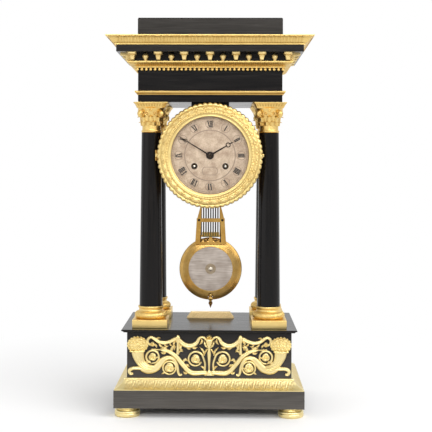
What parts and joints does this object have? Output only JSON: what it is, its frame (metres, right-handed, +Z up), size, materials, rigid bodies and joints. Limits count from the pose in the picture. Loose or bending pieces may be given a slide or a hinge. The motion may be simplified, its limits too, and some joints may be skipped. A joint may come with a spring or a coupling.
{
  "type": "portico clock",
  "caption": "Black wooden portico mantel clock with gilt mounts, columns, a glazed round dial, striking movement and gridiron pendulum.",
  "frame": {"origin": "on the ground, at the middle of the footprint", "axes": "+Z up, front towards -Y, +X to the viewer's right"},
  "size_m": [0.256, 0.1892, 0.4982],
  "materials": {
    "ebonised_wood": "polished",
    "gilt_bronze": "gilt",
    "brass": "satin",
    "bell_metal": "turned",
    "steel": "polished",
    "blued_steel": "blued",
    "silvered_brass": "silvered, engine turned",
    "glass": "polished"
  },
  "bodies": {
    "case": {"feet": "gilt_bronze", "plinth": "ebonised_wood", "base_moulding": "gilt_bronze", "die": "ebonised_wood", "slab": "ebonised_wood", "scroll_mount": "gilt_bronze", "beat_plate": "gilt_bronze", "column_front_left": "ebonised_wood", "column_front_right": "ebonised_wood", "column_rear_left": "ebonised_wood", "column_rear_right": "ebonised_wood", "column_bases": "gilt_bronze", "capitals": "gilt_bronze", "tie_rods": "steel", "entablature_box": "ebonised_wood", "architrave_fillet": "gilt_bronze", "bead_moulding": "gilt_bronze", "corona": "ebonised_wood", "frieze_studs": "gilt_bronze", "cornice_moulding": "gilt_bronze", "attic_block": "ebonised_wood", "drum": "brass", "drum_saddle": "ebonised_wood", "dial": "silvered_brass", "hinge_pin": "brass", "front_plate": "brass", "back_plate": "brass", "pillars": "brass", "bell": "bell_metal", "bell_stand": "steel", "suspension_cock": "brass"},
    "bezel_door": {"bezel": "gilt_bronze", "bezel_glass": "glass"},
    "minute_motion": {"minute_hand": "blued_steel", "cannon_pinion": "steel", "hand_collet": "blued_steel"},
    "hour_motion": {"hour_hand": "blued_steel", "hour_wheel": "brass"},
    "motion_wheel": {"minute_wheel": "brass"},
    "going_barrel": {"going_barrel": "brass"},
    "going_arbor": {"going_arbor": "steel"},
    "second_wheel": {"second_wheel": "brass"},
    "centre_wheel": {"centre_wheel": "brass"},
    "third_wheel": {"third_wheel": "brass"},
    "escape_wheel": {"escape_wheel": "brass"},
    "strike_barrel": {"strike_barrel": "brass"},
    "strike_arbor": {"strike_arbor": "steel"},
    "strike_second": {"strike_second_wheel": "brass", "count_wheel": "brass"},
    "pin_wheel": {"pin_wheel": "brass"},
    "warning_wheel": {"warning_wheel": "brass"},
    "fly": {"fly": "brass"},
    "hammer": {"hammer": "steel"},
    "anchor": {"anchor": "steel"},
    "pendulum": {"suspension_spring": "steel", "gridiron_frame": "brass", "gridiron_rods": "steel", "bob": "brass", "bob_disc": "silvered_brass"},
    "rating_nut": {"rating_nut": "brass"}
  },
  "joints": [
    {"name": "bezel_hinge", "type": "hinge", "parent": "case", "child": "bezel_door", "pos_m": [-0.0679, -0.05657, 0.32465], "axis": [0, 0, -1], "range_deg": [0, 100]},
    {"name": "minute_turn", "type": "hinge", "parent": "case", "child": "minute_motion", "pos_m": [0, 0, 0.32465], "axis": [0, 1, 0], "continuous": true},
    {"name": "hour_turn", "type": "hinge", "parent": "case", "child": "hour_motion", "pos_m": [0, 0, 0.32465], "axis": [0, 1, 0], "continuous": true},
    {"name": "motion_turn", "type": "hinge", "parent": "case", "child": "motion_wheel", "pos_m": [0.0084, 0, 0.3392], "axis": [0, 1, 0], "continuous": true},
    {"name": "going_winding", "type": "hinge", "parent": "case", "child": "going_arbor", "pos_m": [0.0196, 0, 0.31105], "axis": [0, 1, 0], "continuous": true},
    {"name": "going_barrel_turn", "type": "hinge", "parent": "case", "child": "going_barrel", "pos_m": [0.0196, 0, 0.31105], "axis": [0, 1, 0], "continuous": true},
    {"name": "second_turn", "type": "hinge", "parent": "case", "child": "second_wheel", "pos_m": [0.01673, 0, 0.33242], "axis": [0, 1, 0], "continuous": true},
    {"name": "centre_turn", "type": "hinge", "parent": "case", "child": "centre_wheel", "pos_m": [0, 0, 0.32465], "axis": [0, 1, 0], "continuous": true},
    {"name": "third_turn", "type": "hinge", "parent": "case", "child": "third_wheel", "pos_m": [0, 0, 0.34145], "axis": [0, 1, 0], "continuous": true},
    {"name": "escape_turn", "type": "hinge", "parent": "case", "child": "escape_wheel", "pos_m": [0, 0, 0.35405], "axis": [0, 1, 0], "continuous": true},
    {"name": "strike_winding", "type": "hinge", "parent": "case", "child": "strike_arbor", "pos_m": [-0.0196, 0, 0.31105], "axis": [0, 1, 0], "continuous": true},
    {"name": "strike_barrel_turn", "type": "hinge", "parent": "case", "child": "strike_barrel", "pos_m": [-0.0196, 0, 0.31105], "axis": [0, 1, 0], "continuous": true},
    {"name": "strike_second_turn", "type": "hinge", "parent": "case", "child": "strike_second", "pos_m": [-0.01673, 0, 0.33242], "axis": [0, 1, 0], "continuous": true},
    {"name": "pin_turn", "type": "hinge", "parent": "case", "child": "pin_wheel", "pos_m": [-0.02692, 0, 0.3426], "axis": [0, 1, 0], "continuous": true},
    {"name": "warning_turn", "type": "hinge", "parent": "case", "child": "warning_wheel", "pos_m": [-0.01675, 0, 0.34734], "axis": [0, 1, 0], "continuous": true},
    {"name": "fly_turn", "type": "hinge", "parent": "case", "child": "fly", "pos_m": [-0.01255, 0, 0.35462], "axis": [0, 1, 0], "continuous": true},
    {"name": "hammer_lift", "type": "hinge", "parent": "case", "child": "hammer", "pos_m": [-0.04111, 0, 0.32861], "axis": [0, -1, 0], "range_deg": [0, 22]},
    {"name": "pendulum_swing", "type": "hinge", "parent": "case", "child": "pendulum", "pos_m": [0, 0.02933, 0.36393], "axis": [0, 1, 0], "range_deg": [-4, 4]},
    {"name": "anchor_swing", "type": "hinge", "parent": "case", "child": "anchor", "pos_m": [0, 0, 0.36393], "axis": [0, 1, 0], "range_deg": [-4, 4]},
    {"name": "rating_nut_turn", "type": "hinge", "parent": "pendulum", "child": "rating_nut", "pos_m": [0, 0.02933, 0.133], "axis": [0, 0, 1], "continuous": true}
  ],
  "couplings": [
    {"joint": "motion_turn", "follows": "minute_turn", "ratio": -0.33333},
    {"joint": "hour_turn", "follows": "minute_turn", "ratio": 0.083333},
    {"joint": "anchor_swing", "follows": "pendulum_swing", "ratio": 1},
    {"joint": "centre_turn", "follows": "third_turn", "ratio": -0.090909},
    {"joint": "escape_turn", "follows": "third_turn", "ratio": -11},
    {"joint": "second_turn", "follows": "third_turn", "ratio": 0.012626},
    {"joint": "going_barrel_turn", "follows": "third_turn", "ratio": -0.0021044},
    {"joint": "pin_turn", "follows": "warning_turn", "ratio": -0.13333},
    {"joint": "fly_turn", "follows": "warning_turn", "ratio": -6},
    {"joint": "strike_second_turn", "follows": "warning_turn", "ratio": 0.016667},
    {"joint": "strike_barrel_turn", "follows": "warning_turn", "ratio": -0.0027778}
  ]
}
